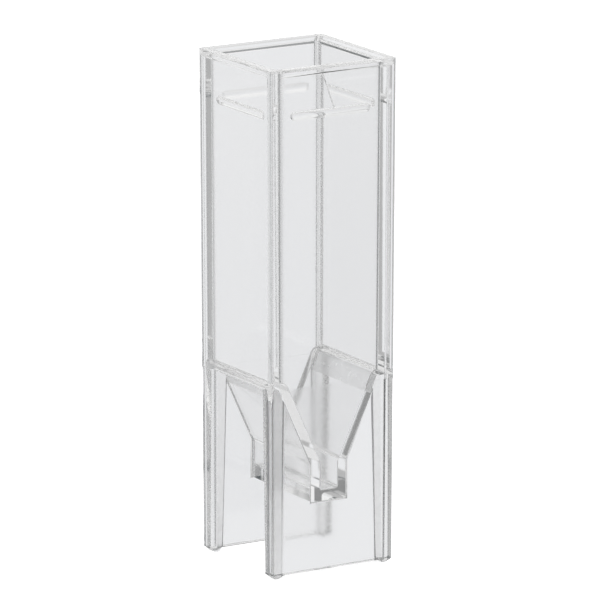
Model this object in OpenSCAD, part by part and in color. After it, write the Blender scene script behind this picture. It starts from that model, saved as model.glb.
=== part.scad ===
// Disposable ultra-micro cuvette: one clear injection-moulded piece.
// A square reservoir narrows through a V-shaped funnel into a slot-like measuring channel
// that hangs between two window plates. Four corner posts run on below it as legs.
// Axes: X across the windows, Y along the light path, Z up. The feet stand on z = 0.
// The walls are drafted for the mould: the outside and the reservoir widen upwards,
// and the space between the legs widens downwards.

/* [Overall] */
// Height of the cuvette
overall_h = 45; // [38:0.5:54]
// Outer width across the top rim
top_w = 12.5; // [11.8:0.1:15]
// Draft of each outer face over the whole height
outer_draft = 0.17; // [0.05:0.01:0.3]
// Height of the parting line between the two mould halves
parting_z = 16.6; // [14:0.1:19]
// Inset of the outside below the parting line
parting_step = 0.03; // [0.01:0.01:0.08]
// Radius of the upright outside corners
outer_r = 0.25; // [0.1:0.05:0.4]

/* [Reservoir] */
// Width of the reservoir at its mouth, before the lead-in
mouth_w = 10.34; // [10.04:0.02:10.8]
// Inside width at the channel floor, which is the light path
light_path = 10; // [9.6:0.02:10.2]
// Size of the lead-in chamfer inside the mouth
lead_in = 0.36; // [0.1:0.02:0.5]
// Radius of the upright inside corners
corner_r = 0.5; // [0.2:0.05:0.6]
// Height of the ledge inside, above the underside of the side walls
ledge_t = 0.6; // [0.4:0.05:1.5]
// Width of the ledge between a side wall and the line of the funnel
ledge_w = 0.63; // [0.55:0.01:1]
// Radius from the ledge down into the funnel
ledge_r = 0.8; // [0.2:0.05:0.85]

/* [Frame] */
// Height of the rim round the mouth, above its bevel
rim_h = 0.52; // [0.3:0.02:1.5]
// Width of the corner posts, as seen on each face
post_w = 0.85; // [0.5:0.05:1.4]
// Depth of the sunk panels between the posts
recess = 0.2; // [0.05:0.01:0.3]
// Height of the rail at the foot of each side wall, below its bevel
rail_h = 0.45; // [0.3:0.05:1.5]
// Height of the underside of the side walls
wall_foot_z = 16.75; // [14:0.05:19]

/* [Ribs in the mouth] */
// Distance of the ribs below the mouth
rib_drop = 4.25; // [1.5:0.05:15]
// Length of each rib
rib_l = 8; // [4:0.1:8.6]
// Width of each rib where it leaves the wall
rib_w = 0.78; // [0.4:0.02:1.2]
// Height of each rib above the wall
rib_proud = 0.14; // [0.05:0.01:0.25]

/* [Light path mark] */
// Width of the triangle under the rim
mark_w = 2.25; // [1:0.05:4]
// Height of the triangle
mark_h = 3; // [1:0.05:5]
// Height of the triangle above the window panel
mark_proud = 0.16; // [0.02:0.01:0.18]

/* [Funnel and channel] */
// Width of the channel
channel_w = 1.9; // [1:0.05:3]
// Height of the channel floor
channel_floor_z = 7.25; // [5:0.05:9]
// Height where the channel opens into the funnel
channel_top_z = 9.85; // [9.2:0.05:12]
// Radius of the lower channel corners
channel_r = 0.3; // [0.1:0.05:0.45]
// Thickness of the channel walls
channel_wall = 0.8; // [0.5:0.05:1.2]
// Thickness of the channel floor
channel_floor_t = 0.95; // [0.5:0.05:1.5]
// Thickness of the funnel walls
funnel_wall = 0.76; // [0.5:0.02:1.2]

/* [Legs and window plates] */
// Size of each leg at the feet, along X
leg_x = 1.25; // [1:0.05:2]
// Size of each leg at the feet, along Y
leg_y = 1.38; // [1.3:0.02:2]
// Growth of each leg from the feet to the side walls
leg_draft = 0.32; // [0.1:0.02:0.6]
// Thickness of the window plates at their lower edge
plate_t = 1; // [0.7:0.05:1.1]
// Growth of the window plates from the feet to the side walls
plate_draft = 0.05; // [0.02:0.01:0.1]
// Height of the lower edge of the window plates
plate_foot_z = 0.3; // [0.1:0.05:2]
// Chamfer round the end of each foot
foot_chamfer = 0.4; // [0.1:0.05:0.45]

/* [Hidden] */
$fn = 64;
// Overrun of every cutting shape past the face it cuts
over = 1;
clear_plastic = [0.86, 0.9, 0.93, 0.45];

// Half the outer width at a height
base_half = top_w / 2 - outer_draft;
function outer_half(z) = base_half + outer_draft * z / overall_h;
// Half the distance between the sunk panels at a height
function panel_half(z) = outer_half(z) - recess;
// Half the width of the reservoir at a height
reservoir_slope = (mouth_w - light_path) / 2 / (overall_h - channel_floor_z);
function reservoir_half(z) = light_path / 2 + reservoir_slope * (z - channel_floor_z);
// Half the width inside the funnel at a height: its walls run from the channel to the ledge
ledge_z = wall_foot_z + ledge_t;
funnel_slope = (reservoir_half(ledge_z) - ledge_w - channel_w / 2) / (ledge_z - channel_top_z);
funnel_angle = atan(funnel_slope);
function funnel_half(z) = channel_w / 2 + funnel_slope * (z - channel_top_z);
// Inner faces of the legs and of the window plates at a height
function leg_in_x(z) = base_half - leg_x - leg_draft * z / wall_foot_z;
function leg_in_y(z) = base_half - leg_y - leg_draft * z / wall_foot_z;
function plate_in(z) = base_half - recess - plate_t - plate_draft * z / wall_foot_z;

// Steps in each rounding that is drawn as a formula
arc_steps = 12;
// Rounding from the funnel wall up onto the ledge
ledge_centre = [reservoir_half(ledge_z) - ledge_w + ledge_r * tan((90 - funnel_angle) / 2),
    ledge_z - ledge_r];
ledge_arc = [for (i = [0 : arc_steps])
    let (a = funnel_angle + (90 - funnel_angle) * i / arc_steps)
    ledge_centre + ledge_r * [-cos(a), sin(a)]];
// Distance of the ends of each corner rounding past the walls, so that it crosses them
corner_past = 0.01;
outer_slope = outer_draft / overall_h;
funnel_wall_x = funnel_wall / cos(funnel_angle);
channel_out = channel_w / 2 + channel_wall;
channel_foot_z = channel_floor_z - channel_floor_t;
rib_z = overall_h - rib_drop;
panel_top_z = overall_h - rim_h - recess;
rib_r = (pow(rib_w / 2, 2) + pow(rib_proud, 2)) / (2 * rib_proud);

// Extrusion of an X-Z outline, centred along Y
module along_y(depth) {
    rotate([90, 0, 0])
        linear_extrude(height = depth, center = true) children();
}

// Extrusion of a Y-Z outline, centred along X
module along_x(depth) {
    rotate([90, 0, 90])
        linear_extrude(height = depth, center = true) children();
}

// Upright trapezoid of half width a at z0 and b at z1
module trapezoid(z0, z1, a, b) {
    polygon([[-a, z0], [a, z0], [b, z1], [-b, z1]]);
}

// Block with four drafted sides: half sizes [x, y] at z0 and at z1
module drafted_block(z0, z1, low, high) {
    intersection() {
        along_y(2 * max(low[1], high[1]) + over) trapezoid(z0, z1, low[0], high[0]);
        along_x(2 * max(low[0], high[0]) + over) trapezoid(z0, z1, low[1], high[1]);
    }
}

// Webs that fill the four corners between walls, out to a rounding of radius r.
// At height z the walls stand at the given half distance, and they lean out by the slope.
module corner_webs(r, half, z, slope, below, above) {
    tilt = atan(sqrt(2) * slope);
    middle = -sqrt(2) * (r - corner_past);
    arc = [for (i = [0 : arc_steps])
        let (b = 90 * i / arc_steps - 45)
        [middle + r * cos(b), r * sin(b)]];
    outline = concat(arc, [arc[arc_steps] + [over, over], arc[0] + [over, -over]]);
    for (turn = [45 : 90 : 315])
        rotate([0, 0, turn]) translate([sqrt(2) * half, 0, z]) rotate([0, tilt, 0])
            translate([0, 0, -below])
                linear_extrude(height = below + above)
                    polygon([for (p = outline) [p[0] * cos(tilt), p[1]]]);
}

// Outer block from z0 to z1 with rounded corners, moved in by an inset
module outer_block(z0, z1, inset) {
    low = outer_half(z0) - inset;
    high = outer_half(z1) - inset;
    difference() {
        drafted_block(z0, z1, [low, low], [high, high]);
        corner_webs(outer_r, low, z0, outer_slope, over, z1 - z0 + over);
    }
}

// Pockets in both faces across Y from z0 to z1, as wide as the gap between the posts.
// An end with a bevel of 1 slopes out at 45 degrees, and one with 0 is square.
module panel_pockets(z0, z1, inset, bevels) {
    far = top_w;
    foot = z0 - over * bevels[0];
    head = z1 + over * bevels[1];
    low = panel_half(z0) - inset;
    high = panel_half(z1) - inset;
    intersection() {
        along_y(2 * far)
            trapezoid(foot, head, outer_half(foot) - inset - post_w, outer_half(head) - inset - post_w);
        along_x(2 * far)
            for (side = [0, 1]) mirror([side, 0])
                polygon([[low, z0], [far, z0 - (far - low) * bevels[0]],
                    [far, z1 + (far - high) * bevels[1]], [high, z1]]);
    }
}

// Outside of the part: two mould halves, with sunk panels between posts, rim and rails
module outside() {
    difference() {
        union() {
            outer_block(0, parting_z, parting_step);
            outer_block(parting_z, overall_h, 0);
        }
        panel_pockets(-over, parting_z, parting_step, [0, 0]);
        panel_pockets(parting_z, panel_top_z, 0, [0, 1]);
        rotate([0, 0, 90])
            panel_pockets(wall_foot_z + rail_h + recess, panel_top_z, 0, [1, 1]);
    }
}

// Space between the legs, open at both sides and below
module leg_space() {
    drafted_block(-over, wall_foot_z,
        [leg_in_x(-over), plate_in(-over)], [leg_in_x(wall_foot_z), plate_in(wall_foot_z)]);
    along_x(top_w + over)
        trapezoid(-over, wall_foot_z, leg_in_y(-over), leg_in_y(wall_foot_z));
    along_y(top_w + over)
        trapezoid(-over, plate_foot_z, leg_in_x(-over), leg_in_x(plate_foot_z));
}

// Chamfers along the outer and inner edges of the feet, for the faces across X.
// The inner faces are given below the feet and at the top of the chamfer.
module foot_chamfers(outer, inner_low, inner_high) {
    along_y(top_w + over)
        for (side = [0, 1]) mirror([side, 0]) {
            polygon([[outer - foot_chamfer - over, -over], [outer + over, -over],
                [outer + over, foot_chamfer + over]]);
            polygon([[inner_low, -over], [inner_high + foot_chamfer + over, -over],
                [inner_high, foot_chamfer]]);
        }
}

// Funnel and channel walls, solid, between the window plates
module funnel_block() {
    top_z = wall_foot_z + over;
    half_top = funnel_half(top_z) + funnel_wall_x;
    bend_z = channel_top_z + (channel_out - channel_w / 2 - funnel_wall_x) / funnel_slope;
    along_y(2 * panel_half(0) - plate_t)
        polygon([[-channel_out, channel_foot_z], [channel_out, channel_foot_z],
            [channel_out, bend_z], [half_top, top_z], [-half_top, top_z], [-channel_out, bend_z]]);
}

// Outline of the inside across X: channel, funnel and reservoir
module inside_outline() {
    top_z = overall_h + over;
    right = concat([[channel_w / 2, channel_floor_z + channel_r], [channel_w / 2, channel_top_z]],
        ledge_arc, [[reservoir_half(ledge_z), ledge_z], [reservoir_half(top_z), top_z]]);
    polygon(concat(right, [for (i = [len(right) - 1 : -1 : 0]) [-right[i][0], right[i][1]]]));
    translate([-channel_w / 2 + channel_r, channel_floor_z])
        square([channel_w - 2 * channel_r, channel_r]);
    for (side = [-1, 1])
        translate([side * (channel_w / 2 - channel_r), channel_floor_z + channel_r])
            circle(r = channel_r);
}

// Rounded rib on the wall across X, left standing in the reservoir
module rib() {
    reach = rib_l / 2 - rib_w / 2;
    translate([reservoir_half(rib_z) + rib_r - rib_proud, 0, rib_z]) {
        rotate([90, 0, 0]) cylinder(h = 2 * reach, r = rib_r, center = true);
        for (end = [-reach, reach])
            translate([0, end, 0]) sphere(r = rib_r);
    }
}

// Everything that is empty inside, with the lead-in at the mouth
module inside() {
    far = overall_h + over;
    lead_z = overall_h - lead_in;
    foot = reservoir_half(lead_z);
    difference() {
        intersection() {
            along_y(top_w) inside_outline();
            along_x(top_w)
                trapezoid(channel_floor_z - over, far,
                    reservoir_half(channel_floor_z - over), reservoir_half(far));
        }
        for (turn = [0 : 90 : 270]) rotate([0, 0, turn]) rib();
        corner_webs(corner_r, foot, lead_z, reservoir_slope, lead_z - channel_top_z, lead_in + 2 * over);
    }
    difference() {
        drafted_block(lead_z, far, [foot, foot], [foot + lead_in + over, foot + lead_in + over]);
        corner_webs(corner_r, foot, lead_z, 1, 2 * over, sqrt(3) * (lead_in + 2 * over));
    }
}

// Triangle that marks the window face, pointing down from the rim and running into its bevel
module light_path_mark() {
    top_z = panel_top_z + recess;
    foot_z = panel_top_z - mark_h;
    half = mark_w / 2 * (top_z - foot_z) / mark_h;
    intersection() {
        along_y(2 * top_w)
            polygon([[-half, top_z], [half, top_z], [0, foot_z]]);
        along_x(top_w)
            polygon([[-panel_half(foot_z) + mark_proud, foot_z], [-panel_half(foot_z) - mark_proud, foot_z],
                [-panel_half(top_z) - mark_proud, top_z], [-panel_half(top_z) + mark_proud, top_z]]);
    }
}

module cuvette() {
    foot_half = base_half - parting_step;
    color(clear_plastic)
        difference() {
            union() {
                outside();
                light_path_mark();
            }
            difference() {
                leg_space();
                funnel_block();
            }
            foot_chamfers(foot_half, leg_in_x(-over), leg_in_x(foot_chamfer));
            rotate([0, 0, 90]) foot_chamfers(foot_half, leg_in_y(-over), leg_in_y(foot_chamfer));
            inside();
        }
}

cuvette();
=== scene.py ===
"""Looks for a clear moulded cuvette: the polystyrene body and a white studio around it."""

import math

import bmesh
import bpy
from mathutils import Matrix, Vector


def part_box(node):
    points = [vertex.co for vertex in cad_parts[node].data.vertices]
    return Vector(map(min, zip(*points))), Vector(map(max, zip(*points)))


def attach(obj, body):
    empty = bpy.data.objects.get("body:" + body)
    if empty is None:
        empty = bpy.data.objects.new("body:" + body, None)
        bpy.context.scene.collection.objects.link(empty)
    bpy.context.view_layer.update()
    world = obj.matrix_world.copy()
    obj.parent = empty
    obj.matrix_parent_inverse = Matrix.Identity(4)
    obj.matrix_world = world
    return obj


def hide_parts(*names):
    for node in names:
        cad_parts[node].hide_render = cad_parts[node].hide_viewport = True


bl_info = {
    "name": "Moulded cuvette",
    "version": (1, 0, 0),
    "blender": (4, 5, 0),
    "location": "View3D > Sidebar > Cuvette",
    "description": "Finishes a clear moulded cuvette and sets up its studio",
    "category": "Object",
}

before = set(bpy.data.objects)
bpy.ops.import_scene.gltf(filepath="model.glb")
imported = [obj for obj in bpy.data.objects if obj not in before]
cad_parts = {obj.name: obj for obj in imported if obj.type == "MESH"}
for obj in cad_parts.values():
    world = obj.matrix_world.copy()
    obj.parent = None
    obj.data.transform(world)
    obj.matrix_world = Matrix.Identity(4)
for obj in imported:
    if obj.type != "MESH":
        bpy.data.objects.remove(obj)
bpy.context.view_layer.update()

MM = 0.001
NODE = "cuvette"
PIECE = "moulded_cuvette"
LOW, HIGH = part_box(NODE)
MIDDLE = (LOW + HIGH) / 2

# The mesh of the body: points closer than this are one, and faces that meet at less are one
WELD_DISTANCE = 0.0005 * MM
FLAT_ANGLE = math.radians(0.2)
SAME_HEIGHT = 0.01 * MM

# A box round the small triangle under the rim of the -Y face
MARK_HALF_WIDTH = 1.4 * MM
MARK_BACK = LOW.y + 0.35 * MM
MARK_FOOT = HIGH.z - 4 * MM
MARK_TOP = HIGH.z - 0.8 * MM

# Distances from the axis, in millimetres: where the polished outside begins, and where the
# rounding of the inside corners begins and is complete
OUTSIDE_START = HIGH.x / MM - 0.85
CORNER_START = HIGH.x / MM - 1.95
CORNER_END = HIGH.x / MM - 1.45

# Parts of a face's normal: below this along Z it is an upright face, and above this along Y
# it faces along the light path
UPRIGHT_LIMIT = 0.5
FACING_LIMIT = 0.7

# How strongly polystyrene bends light
POLYSTYRENE_IOR = 1.59

# Reflections inside the walls after which light starts to come out white, and is white
GUIDED_START, GUIDED_END = 6, 12
# Parts of a direction along Y and Z at which the pale tone behind the walls starts, and is full
BEHIND_START, BEHIND_END = 0.5, 0.0
BELOW_START, BELOW_END = 0.1, 0.0
# A ray meets the walls this often before it is given up
BOUNCES = 64

# What the room shows: the Z part of a direction, and tones at every 30 degrees from -X round
# through -Y, +X and +Y
ROOM_TONES = (
    (-1.0, "dcdcdc " * 13),
    (-0.6, "8c8c8c 8c8c8c 8c8c8c 8c8c8c 8c8c8c 8c8c8c "
           "a4a4a4 cccccc e4e4e4 e8e8e8 e6e6e6 b4b4b4 8c8c8c"),
    (-0.233, "6c6e70 646668 6c6e70 787a7c a0a0a0 8c8e90 "
             "9c9ea0 e6e7e8 edeef0 c4c5c6 b0b0b0 8c8e90 6c6e70"),
    (0.0, "6c6e70 6c6e70 6c6e70 6c6e70 6c6e70 6c6e70 "
          "808080 d0d0d0 ffffff e0e0e0 c4c4c4 808080 6c6e70"),
    (0.233, "3c484c 1b2d34 1b2d34 1b2d34 1b2d34 1b2d34 "
            "3c484c b0b0b0 fafafa b0b0b0 8c8c8c 505658 3c484c"),
    (0.6, "1b2d34 1b2d34 1b2d34 1b2d34 1b2d34 1b2d34 "
          "1b2d34 505658 989898 505658 3c484c 1b2d34 1b2d34"),
    (1.0, "c8c8c8 " * 13),
)


def linear(hex_colour):
    """Linear RGBA of an sRGB colour written as rrggbb."""
    channels = [int(hex_colour[i:i + 2], 16) / 255 for i in (0, 2, 4)]
    return [c / 12.92 if c <= 0.04045 else ((c + 0.055) / 1.055) ** 2.4 for c in channels] + [1.0]


def add_node(tree, kind, settings=None, inputs=None):
    """Adds a node to a tree, with its settings, and its inputs as values or sockets to link."""
    node = tree.nodes.new(kind)
    for name, value in (settings or {}).items():
        setattr(node, name, value)
    for key, value in (inputs or {}).items():
        if isinstance(value, bpy.types.NodeSocket):
            tree.links.new(value, node.inputs[key])
        else:
            node.inputs[key].default_value = value
    return node


def empty_tree(owner):
    """The node tree of a material or world, cleared."""
    owner.use_nodes = True
    owner.node_tree.nodes.clear()
    return owner.node_tree


class CuvetteSizes(bpy.types.PropertyGroup):
    """Sizes and finishes that moulding gives the body."""

    edge_radius: bpy.props.FloatProperty(
        name="Edge radius", description="Rounding of every moulded edge",
        default=0.05 * MM, min=0, subtype="DISTANCE", unit="LENGTH")
    crisp_radius: bpy.props.FloatProperty(
        name="Crisp radius", description="Rounding of the parting line and of the triangle",
        default=0.012 * MM, min=0, subtype="DISTANCE", unit="LENGTH")
    fillet_radius: bpy.props.FloatProperty(
        name="Fillet radius", description="Rounding in the corners of the space between the legs",
        default=0.15 * MM, min=0, subtype="DISTANCE", unit="LENGTH")
    leg_top: bpy.props.FloatProperty(
        name="Leg top", description="Height that the space between the legs reaches",
        default=16.7 * MM, subtype="DISTANCE", unit="LENGTH")
    parting_height: bpy.props.FloatProperty(
        name="Parting height", description="Height at which the halves of the tool meet",
        default=16.6 * MM, subtype="DISTANCE", unit="LENGTH")
    edge_steps: bpy.props.IntProperty(
        name="Edge steps", description="Faces across each rounded edge", default=3, min=1, max=6)
    smooth_angle: bpy.props.FloatProperty(
        name="Smooth angle", description="Faces that meet at less than this are one curve",
        default=math.radians(20), subtype="ANGLE", unit="ROTATION")
    tint: bpy.props.FloatVectorProperty(
        name="Tint", description="Colour of the plastic", default=linear("ffffff"),
        size=4, min=0, max=1, subtype="COLOR")
    core_satin: bpy.props.FloatProperty(
        name="Core satin", description="Roughness that the tool's core gives the inside",
        default=0.05, min=0, max=1)
    leg_satin: bpy.props.FloatProperty(
        name="Leg satin", description="Roughness of the faces between the legs",
        default=0.27, min=0, max=1)
    plate_satin: bpy.props.FloatProperty(
        name="Plate satin", description="Further roughness of the window plates' faces",
        default=0.1, min=0, max=1)
    corner_satin: bpy.props.FloatProperty(
        name="Corner satin", description="Further roughness of the rounded inside corners",
        default=0.22, min=0, max=1)
    grain_size: bpy.props.FloatProperty(
        name="Grain size", description="Size of the patches in the satin",
        default=0.4 * MM, min=0.01 * MM, subtype="DISTANCE", unit="LENGTH")
    grain_depth: bpy.props.FloatProperty(
        name="Grain depth", description="Height of the patches where the satin is full",
        default=0.01 * MM, min=0, subtype="DISTANCE", unit="LENGTH")


class StudioSettings(bpy.types.PropertyGroup):
    """The camera, the floor and the light round the object."""

    azimuth: bpy.props.FloatProperty(
        name="Azimuth", description="Side that the camera stands on, from -Y towards -X",
        default=math.radians(30.94), subtype="ANGLE", unit="ROTATION")
    elevation: bpy.props.FloatProperty(
        name="Elevation", description="Height of the camera above the horizon",
        default=math.radians(13.487), subtype="ANGLE", unit="ROTATION")
    distance: bpy.props.FloatProperty(
        name="Distance", description="Distance of the camera from the middle of the object",
        default=600 * MM, subtype="DISTANCE", unit="LENGTH")
    lens: bpy.props.FloatProperty(
        name="Lens", description="Focal length on a 36 mm sensor, in millimetres", default=414.0)
    shift_x: bpy.props.FloatProperty(
        name="Shift X", description="Sideways shift of the lens, in picture widths",
        default=0.0046)
    shift_y: bpy.props.FloatProperty(
        name="Shift Y", description="Upward shift of the lens, in picture widths",
        default=0.0103)
    clip_ratio: bpy.props.FloatProperty(
        name="Clip ratio", description="How far nearer and further than the object is in sight",
        default=20, min=1)
    floor_reach: bpy.props.FloatProperty(
        name="Floor reach", description="Distance from the middle of the floor to its edges",
        default=2.0, min=0, subtype="DISTANCE", unit="LENGTH")
    floor_gap: bpy.props.FloatProperty(
        name="Floor gap", description="Distance that keeps the floor clear of the feet",
        default=0.02 * MM, min=0, subtype="DISTANCE", unit="LENGTH")
    floor_glow: bpy.props.FloatProperty(
        name="Floor glow", description="Light that the paper adds to what falls on it",
        default=0.8, min=0, max=1)
    paper: bpy.props.FloatVectorProperty(
        name="Paper", description="Colour of the floor's paper", default=linear("f0f0f0"),
        size=4, min=0, max=1, subtype="COLOR")
    white: bpy.props.FloatVectorProperty(
        name="White", description="Colour of the background and of guided light",
        default=linear("ffffff"), size=4, min=0, max=1, subtype="COLOR")
    behind: bpy.props.FloatVectorProperty(
        name="Behind", description="Tone seen straight through a wall from the other sides",
        default=linear("eef0f1"), size=4, min=0, max=1, subtype="COLOR")


def moulded_polystyrene(sizes):
    """Crystal-clear polystyrene, injection moulded in a steel tool.

    The outside has a mirror polish. The tool's cores are polished less, so the inside has a very
    fine satin that softens what is seen through it, and the faces between the legs are satin.
    """
    material = bpy.data.materials.new("polystyrene_moulded_clear")
    tree = empty_tree(material)
    place = add_node(tree, "ShaderNodeTexCoord")
    millimetres = add_node(tree, "ShaderNodeVectorMath", {"operation": "SCALE"}, {
        0: place.outputs["Object"], "Scale": 1 / MM})
    # The finish is the same in all four quarters, so places and normals are taken without sign
    unsigned = []
    for vector in (millimetres.outputs[0], place.outputs["Normal"]):
        mirrored = add_node(tree, "ShaderNodeVectorMath", {"operation": "ABSOLUTE"}, {0: vector})
        unsigned.append(add_node(tree, "ShaderNodeSeparateXYZ", {}, {0: mirrored.outputs[0]}))
    point, facing = unsigned
    across, along, height = (point.outputs[axis] for axis in "XYZ")

    zone = {}
    for name, operation, value, limit in (
            ("low", "LESS_THAN", height, sizes.leg_top / MM),
            ("within_x", "LESS_THAN", across, OUTSIDE_START),
            ("within_y", "LESS_THAN", along, OUTSIDE_START),
            ("out_on_x", "GREATER_THAN", across, CORNER_START),
            ("not_corner", "LESS_THAN", along, CORNER_END),
            ("upright", "LESS_THAN", facing.outputs["Z"], UPRIGHT_LIMIT),
            ("faces_y", "GREATER_THAN", facing.outputs["Y"], FACING_LIMIT)):
        zone[name] = add_node(tree, "ShaderNodeMath", {"operation": operation}, {
            0: value, 1: limit}).outputs[0]
    nearer = add_node(tree, "ShaderNodeMath", {"operation": "MINIMUM"}, {0: across, 1: along})
    zone["corner"] = add_node(tree, "ShaderNodeMapRange", {"interpolation_type": "SMOOTHSTEP"}, {
        "Value": nearer.outputs[0], "From Min": CORNER_START, "From Max": CORNER_END}).outputs[0]

    satin = 0.0
    for roughness, names in (
            (sizes.core_satin, ("within_x", "within_y", "upright")),
            (sizes.leg_satin, ("low", "out_on_x", "not_corner")),
            (sizes.plate_satin, ("low", "within_x", "within_y", "faces_y")),
            (sizes.corner_satin, ("within_x", "within_y", "upright", "corner"))):
        share = roughness
        for name in names:
            share = add_node(tree, "ShaderNodeMath", {"operation": "MULTIPLY"}, {
                0: share, 1: zone[name]}).outputs[0]
        satin = add_node(tree, "ShaderNodeMath", {"operation": "ADD"}, {
            0: satin, 1: share}).outputs[0]

    # The tool's texture is finer than this; it is drawn this coarse so that it shows
    grain = add_node(tree, "ShaderNodeTexNoise", {}, {
        "Vector": millimetres.outputs[0], "Scale": MM / sizes.grain_size,
        "Detail": 3.0, "Roughness": 0.6})
    patches = add_node(tree, "ShaderNodeMath", {"operation": "MULTIPLY"}, {
        0: grain.outputs["Fac"], 1: satin})
    # The grain takes the satin from half of its value to one and a half times it
    uneven = add_node(tree, "ShaderNodeMath", {"operation": "MULTIPLY_ADD"}, {
        0: satin, 1: 0.5, 2: patches.outputs[0]})
    relief = add_node(tree, "ShaderNodeBump", {}, {
        "Height": patches.outputs[0], "Strength": 1.0, "Distance": sizes.grain_depth})
    body = add_node(tree, "ShaderNodeBsdfGlass", {}, {
        "Color": sizes.tint, "Roughness": uneven.outputs[0], "IOR": POLYSTYRENE_IOR,
        "Normal": relief.outputs[0]})
    add_node(tree, "ShaderNodeOutputMaterial", {}, {"Surface": body.outputs[0]})
    return material


def moulded_radius(edge, sizes):
    """The rounding that an edge of the body has."""
    ends = [vert.co for vert in edge.verts]
    parting = all(abs(end.z - sizes.parting_height) < SAME_HEIGHT for end in ends)
    mark = all(end.y < MARK_BACK and abs(end.x) < MARK_HALF_WIDTH
               and MARK_FOOT < end.z < MARK_TOP for end in ends)
    if parting or mark:
        return sizes.crisp_radius
    if not edge.is_convex and max(end.z for end in ends) < sizes.leg_top:
        return sizes.fillet_radius
    return sizes.edge_radius


class CUVETTE_OT_body(bpy.types.Operator):
    """Make the moulded body with its rounded edges and clear plastic"""

    bl_idname = "cuvette.body"
    bl_label = "Moulded body"

    def execute(self, context):
        sizes = context.scene.cuvette_sizes
        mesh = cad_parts[NODE].data.copy()
        mesh.name = PIECE
        work = bmesh.new()
        work.from_mesh(mesh)
        bmesh.ops.remove_doubles(work, verts=work.verts, dist=WELD_DISTANCE)
        bmesh.ops.dissolve_limit(
            work, angle_limit=FLAT_ANGLE, verts=work.verts, edges=work.edges)
        # Each edge's weight is its share of the largest rounding
        weight = work.edges.layers.float.new("bevel_weight_edge")
        for edge in work.edges:
            if edge.is_manifold and edge.calc_face_angle() > sizes.smooth_angle:
                edge[weight] = moulded_radius(edge, sizes) / sizes.fillet_radius
        work.to_mesh(mesh)
        work.free()
        mesh.shade_smooth()
        mesh.set_sharp_from_angle(angle=sizes.smooth_angle)
        mesh.materials.clear()
        mesh.materials.append(moulded_polystyrene(sizes))
        piece = bpy.data.objects.new(PIECE, mesh)
        context.collection.objects.link(piece)
        rounding = piece.modifiers.new("edge_rounding", "BEVEL")
        rounding.width = sizes.fillet_radius
        rounding.segments = sizes.edge_steps
        rounding.limit_method = "WEIGHT"
        rounding.use_clamp_overlap = False
        # The larger of two faces gives the shading where they meet, all but alone
        shading = piece.modifiers.new("flat_faces_stay_flat", "WEIGHTED_NORMAL")
        shading.mode = "FACE_AREA"
        shading.weight = 100
        shading.keep_sharp = True
        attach(piece, "root")
        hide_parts(NODE)
        return {"FINISHED"}


def studio_world(studio):
    """A room that is pale ahead of the camera and below, and darker at its sides and behind it.

    The camera and what the outside mirrors show plain white. What is seen through the plastic
    depends on the direction in which the ray leaves it. Straight behind a wall it is pale from the
    other sides too, so the walls stay clear. A ray that the walls guided for long ends in white.
    """
    world = bpy.data.worlds.new("studio")
    bpy.context.scene.world = world
    tree = empty_tree(world)
    place = add_node(tree, "ShaderNodeTexCoord")
    axes = add_node(tree, "ShaderNodeSeparateXYZ", {}, {0: place.outputs["Generated"]})
    path = add_node(tree, "ShaderNodeLightPath")
    turn = add_node(tree, "ShaderNodeMath", {"operation": "ARCTAN2"}, {
        0: axes.outputs["Y"], 1: axes.outputs["X"]})
    turned = add_node(tree, "ShaderNodeMapRange", {}, {
        "Value": turn.outputs[0], "From Min": -math.pi, "From Max": math.pi})

    rings = []
    for _, tones in ROOM_TONES:
        ring = add_node(tree, "ShaderNodeValToRGB", {}, {"Fac": turned.outputs[0]})
        stops = ring.color_ramp.elements
        tones = tones.split()
        while len(stops) < len(tones):
            stops.new(0.5)
        for index, tone in enumerate(tones):
            stops[index].position = index / (len(tones) - 1)
            stops[index].color = linear(tone)
        rings.append(ring.outputs[0])
    layers = []
    for (below, _), (above, _), ring in zip(ROOM_TONES, ROOM_TONES[1:], rings[1:]):
        rise = add_node(tree, "ShaderNodeMapRange", {}, {
            "Value": axes.outputs["Z"], "From Min": below, "From Max": above})
        layers.append((rise.outputs[0], ring))

    # Light that was only refracted has no reflections, and its share of the pale tone is full
    behind = 1.0
    for value, start, end in (
            (path.outputs["Glossy Depth"], 1, 0),
            (axes.outputs["Y"], BEHIND_START, BEHIND_END),
            (axes.outputs["Z"], BELOW_START, BELOW_END)):
        fade = add_node(tree, "ShaderNodeMapRange", {"interpolation_type": "SMOOTHSTEP"}, {
            "Value": value, "From Min": start, "From Max": end})
        behind = add_node(tree, "ShaderNodeMath", {"operation": "MULTIPLY"}, {
            0: behind, 1: fade.outputs[0]}).outputs[0]
    layers.append((behind, studio.behind))
    guided = add_node(tree, "ShaderNodeMapRange", {"interpolation_type": "SMOOTHSTEP"}, {
        "Value": path.outputs["Glossy Depth"], "From Min": GUIDED_START, "From Max": GUIDED_END})
    layers.append((guided.outputs[0], studio.white))
    direct = add_node(tree, "ShaderNodeMath", {"operation": "MAXIMUM"}, {
        0: path.outputs["Is Camera Ray"], 1: path.outputs["Is Reflection Ray"]})
    layers.append((direct.outputs[0], studio.white))

    seen = rings[0]
    for factor, colour in layers:
        seen = add_node(tree, "ShaderNodeMix", {"data_type": "RGBA"}, {
            "Factor": factor, 6: seen, 7: colour}).outputs[2]
    light = add_node(tree, "ShaderNodeBackground", {}, {"Color": seen, "Strength": 1.0})
    add_node(tree, "ShaderNodeOutputWorld", {}, {"Surface": light.outputs[0]})


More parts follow.
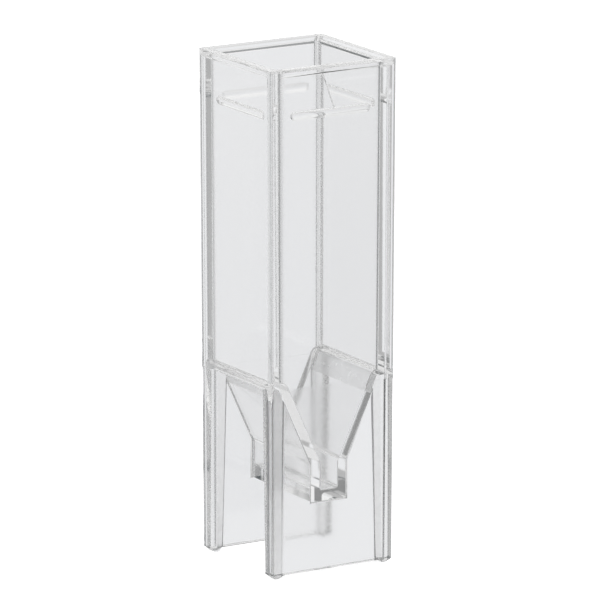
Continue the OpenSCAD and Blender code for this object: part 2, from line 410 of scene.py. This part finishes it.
def floor_paint(studio):
    """Matt white paper that shows white with a soft shadow, and lets the object show the room."""
    material = bpy.data.materials.new("paper_sweep_matt_white")
    tree = empty_tree(material)
    paper = add_node(tree, "ShaderNodeBsdfDiffuse", {}, {"Color": studio.paper})
    glow = add_node(tree, "ShaderNodeEmission", {}, {
        "Color": studio.white, "Strength": studio.floor_glow})
    lit = add_node(tree, "ShaderNodeAddShader", {}, {0: paper.outputs[0], 1: glow.outputs[0]})
    clear = add_node(tree, "ShaderNodeBsdfTransparent")
    path = add_node(tree, "ShaderNodeLightPath")
    shown = add_node(tree, "ShaderNodeMixShader", {}, {
        0: path.outputs["Is Camera Ray"], 1: clear.outputs[0], 2: lit.outputs[0]})
    add_node(tree, "ShaderNodeOutputMaterial", {}, {"Surface": shown.outputs[0]})
    return material


class CUVETTE_OT_studio(bpy.types.Operator):
    """Set up the camera, the floor and the light"""

    bl_idname = "cuvette.studio"
    bl_label = "Studio"

    def execute(self, context):
        studio = context.scene.cuvette_studio
        scene = context.scene
        scene.view_settings.view_transform = "Standard"
        scene.cycles.max_bounces = BOUNCES
        scene.cycles.glossy_bounces = BOUNCES
        scene.cycles.transmission_bounces = BOUNCES
        scene.cycles.transparent_max_bounces = BOUNCES
        side, rise = studio.azimuth, studio.elevation
        back = Vector((
            -math.sin(side) * math.cos(rise), -math.cos(side) * math.cos(rise), math.sin(rise)))
        camera = bpy.data.objects.new("camera", bpy.data.cameras.new("camera"))
        camera.data.lens = studio.lens
        camera.data.shift_x = studio.shift_x
        camera.data.shift_y = studio.shift_y
        camera.data.clip_start = studio.distance / studio.clip_ratio
        camera.data.clip_end = studio.distance * studio.clip_ratio
        camera.location = MIDDLE + back * studio.distance
        camera.rotation_mode = "QUATERNION"
        camera.rotation_quaternion = (-back).to_track_quat("-Z", "Y")
        scene.collection.objects.link(camera)
        scene.camera = camera
        studio_world(studio)
        reach = studio.floor_reach
        sheet = bpy.data.meshes.new("floor")
        sheet.from_pydata(
            [(-reach, -reach, 0), (reach, -reach, 0), (reach, reach, 0), (-reach, reach, 0)],
            [], [(0, 1, 2, 3)])
        sheet.materials.append(floor_paint(studio))
        floor = bpy.data.objects.new("floor", sheet)
        floor.location.z = LOW.z - studio.floor_gap
        scene.collection.objects.link(floor)
        return {"FINISHED"}


class CUVETTE_PT_panel(bpy.types.Panel):
    """Sizes and operators of the cuvette"""

    bl_idname = "CUVETTE_PT_panel"
    bl_label = "Cuvette"
    bl_space_type = "VIEW_3D"
    bl_region_type = "UI"
    bl_category = "Cuvette"

    def draw(self, context):
        for group in (context.scene.cuvette_sizes, context.scene.cuvette_studio):
            for name in group.__annotations__:
                self.layout.prop(group, name)
        for operator in OPERATORS:
            self.layout.operator(operator.bl_idname)


OPERATORS = (CUVETTE_OT_studio, CUVETTE_OT_body)
CLASSES = (CuvetteSizes, StudioSettings, *OPERATORS, CUVETTE_PT_panel)


def register():
    for item in CLASSES:
        bpy.utils.register_class(item)
    bpy.types.Scene.cuvette_sizes = bpy.props.PointerProperty(type=CuvetteSizes)
    bpy.types.Scene.cuvette_studio = bpy.props.PointerProperty(type=StudioSettings)


def unregister():
    del bpy.types.Scene.cuvette_studio
    del bpy.types.Scene.cuvette_sizes
    for item in reversed(CLASSES):
        bpy.utils.unregister_class(item)


def main():
    register()
    bpy.ops.cuvette.studio()
    bpy.ops.cuvette.body()


if __name__ == "__main__":
    main()
